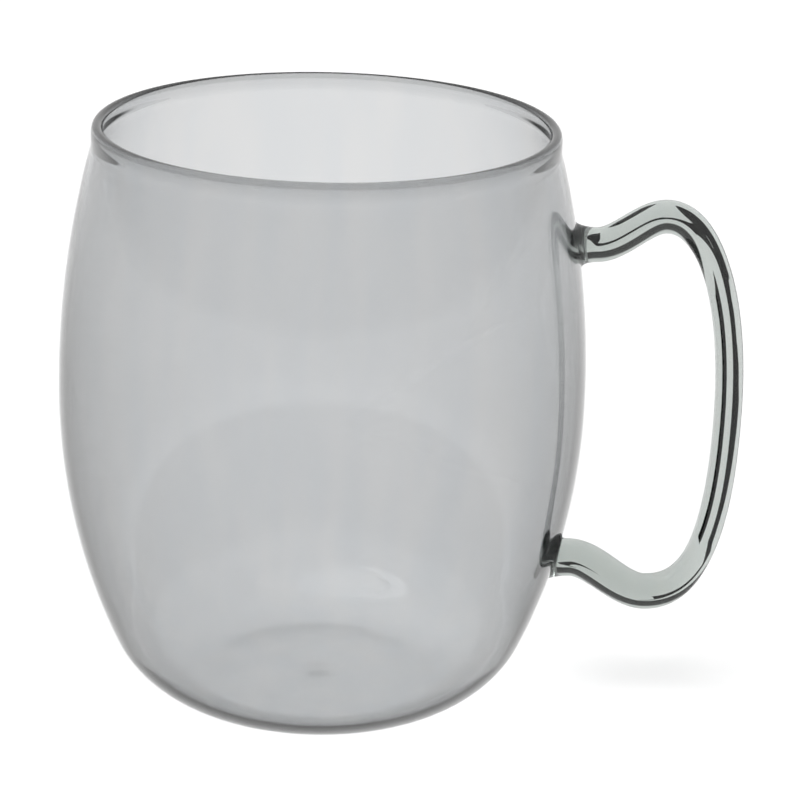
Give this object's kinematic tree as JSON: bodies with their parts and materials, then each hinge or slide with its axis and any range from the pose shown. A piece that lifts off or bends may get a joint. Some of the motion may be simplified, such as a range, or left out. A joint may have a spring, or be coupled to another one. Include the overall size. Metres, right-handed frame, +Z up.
{
  "type": "glass mug",
  "caption": "Barrel-shaped smoke-tinted glass mug with a rounded lip, a flat foot and a bent solid glass rod fused to its side as a handle.",
  "frame": {"origin": "centre of the flat foot, on the bowl's axis and on the table", "axes": "+Z up along the bowl's axis, +X from the axis out through the handle, +Y across the handle"},
  "size_m": [0.1164, 0.0892, 0.1],
  "materials": {
    "bowl_glass": "thin blown glass, light smoke-grey tint, fire-polished",
    "rod_glass": "solid glass rod, smoke-grey with a faint green cast, fire-polished"
  },
  "bodies": {
    "root": {"bowl": "bowl_glass", "handle": "rod_glass", "upper_weld": "rod_glass", "lower_weld": "rod_glass"}
  },
  "joints": []
}
